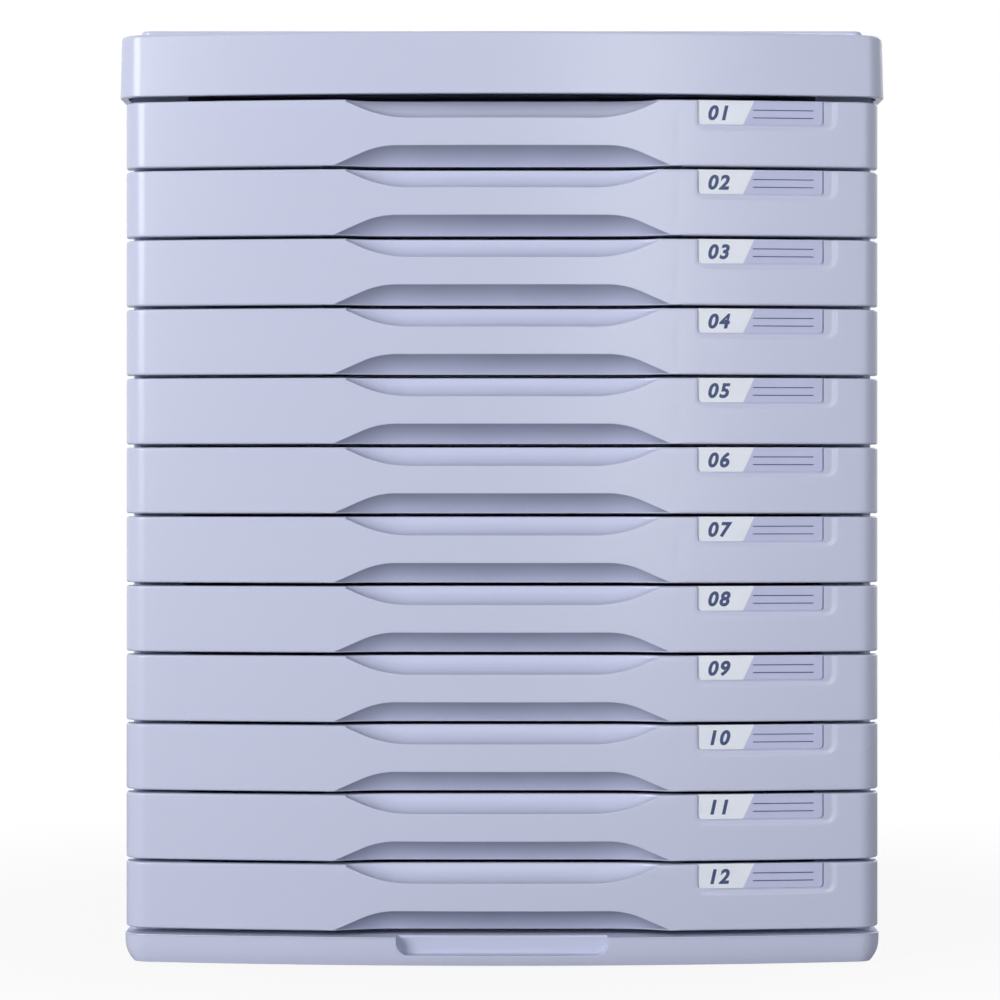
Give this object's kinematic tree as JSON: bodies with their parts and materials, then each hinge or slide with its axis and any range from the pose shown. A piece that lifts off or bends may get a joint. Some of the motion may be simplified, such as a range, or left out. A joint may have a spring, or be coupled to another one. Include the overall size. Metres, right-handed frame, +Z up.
{
  "type": "multi-drawer file cabinet",
  "caption": "Desktop cabinet of shallow stacked paper drawers with bowed fronts, finger scoops and label windows.",
  "frame": {"origin": "on the ground below the middle of the cabinet's plan", "axes": "+Z up, drawer fronts face -Y, +X to the right of a person who faces them"},
  "size_m": [0.3, 0.35, 0.3653],
  "materials": {
    "drawer_plastic": "semi-gloss moulded polystyrene, lavender grey",
    "cover_plastic": "semi-gloss moulded polystyrene, lavender grey",
    "frame_plastic": "satin moulded polystyrene, blue grey",
    "clear_window": "clear polished",
    "label_card": "matt printed card",
    "foot_rubber": "matt"
  },
  "bodies": {
    "carcass": {"frame_01": "frame_plastic", "frame_02": "frame_plastic", "frame_03": "frame_plastic", "frame_04": "frame_plastic", "frame_05": "frame_plastic", "frame_06": "frame_plastic", "frame_07": "frame_plastic", "frame_08": "frame_plastic", "frame_09": "frame_plastic", "frame_10": "frame_plastic", "frame_11": "frame_plastic", "frame_12": "frame_plastic", "top_cover": "cover_plastic", "base": "cover_plastic", "rubber_feet": "foot_rubber"},
    "drawer_01": {"drawer_01": "drawer_plastic", "label_window_01": "clear_window", "label_card_01": "label_card"},
    "drawer_02": {"drawer_02": "drawer_plastic", "label_window_02": "clear_window", "label_card_02": "label_card"},
    "drawer_03": {"drawer_03": "drawer_plastic", "label_window_03": "clear_window", "label_card_03": "label_card"},
    "drawer_04": {"drawer_04": "drawer_plastic", "label_window_04": "clear_window", "label_card_04": "label_card"},
    "drawer_05": {"drawer_05": "drawer_plastic", "label_window_05": "clear_window", "label_card_05": "label_card"},
    "drawer_06": {"drawer_06": "drawer_plastic", "label_window_06": "clear_window", "label_card_06": "label_card"},
    "drawer_07": {"drawer_07": "drawer_plastic", "label_window_07": "clear_window", "label_card_07": "label_card"},
    "drawer_08": {"drawer_08": "drawer_plastic", "label_window_08": "clear_window", "label_card_08": "label_card"},
    "drawer_09": {"drawer_09": "drawer_plastic", "label_window_09": "clear_window", "label_card_09": "label_card"},
    "drawer_10": {"drawer_10": "drawer_plastic", "label_window_10": "clear_window", "label_card_10": "label_card"},
    "drawer_11": {"drawer_11": "drawer_plastic", "label_window_11": "clear_window", "label_card_11": "label_card"},
    "drawer_12": {"drawer_12": "drawer_plastic", "label_window_12": "clear_window", "label_card_12": "label_card"}
  },
  "joints": [
    {"name": "drawer_01_slide", "type": "slide", "parent": "carcass", "child": "drawer_01", "axis": [0, -1, 0], "range_m": [0, 0.228]},
    {"name": "drawer_02_slide", "type": "slide", "parent": "carcass", "child": "drawer_02", "axis": [0, -1, 0], "range_m": [0, 0.228]},
    {"name": "drawer_03_slide", "type": "slide", "parent": "carcass", "child": "drawer_03", "axis": [0, -1, 0], "range_m": [0, 0.228]},
    {"name": "drawer_04_slide", "type": "slide", "parent": "carcass", "child": "drawer_04", "axis": [0, -1, 0], "range_m": [0, 0.228]},
    {"name": "drawer_05_slide", "type": "slide", "parent": "carcass", "child": "drawer_05", "axis": [0, -1, 0], "range_m": [0, 0.228]},
    {"name": "drawer_06_slide", "type": "slide", "parent": "carcass", "child": "drawer_06", "axis": [0, -1, 0], "range_m": [0, 0.228]},
    {"name": "drawer_07_slide", "type": "slide", "parent": "carcass", "child": "drawer_07", "axis": [0, -1, 0], "range_m": [0, 0.228]},
    {"name": "drawer_08_slide", "type": "slide", "parent": "carcass", "child": "drawer_08", "axis": [0, -1, 0], "range_m": [0, 0.228]},
    {"name": "drawer_09_slide", "type": "slide", "parent": "carcass", "child": "drawer_09", "axis": [0, -1, 0], "range_m": [0, 0.228]},
    {"name": "drawer_10_slide", "type": "slide", "parent": "carcass", "child": "drawer_10", "axis": [0, -1, 0], "range_m": [0, 0.228]},
    {"name": "drawer_11_slide", "type": "slide", "parent": "carcass", "child": "drawer_11", "axis": [0, -1, 0], "range_m": [0, 0.228]},
    {"name": "drawer_12_slide", "type": "slide", "parent": "carcass", "child": "drawer_12", "axis": [0, -1, 0], "range_m": [0, 0.228]}
  ]
}
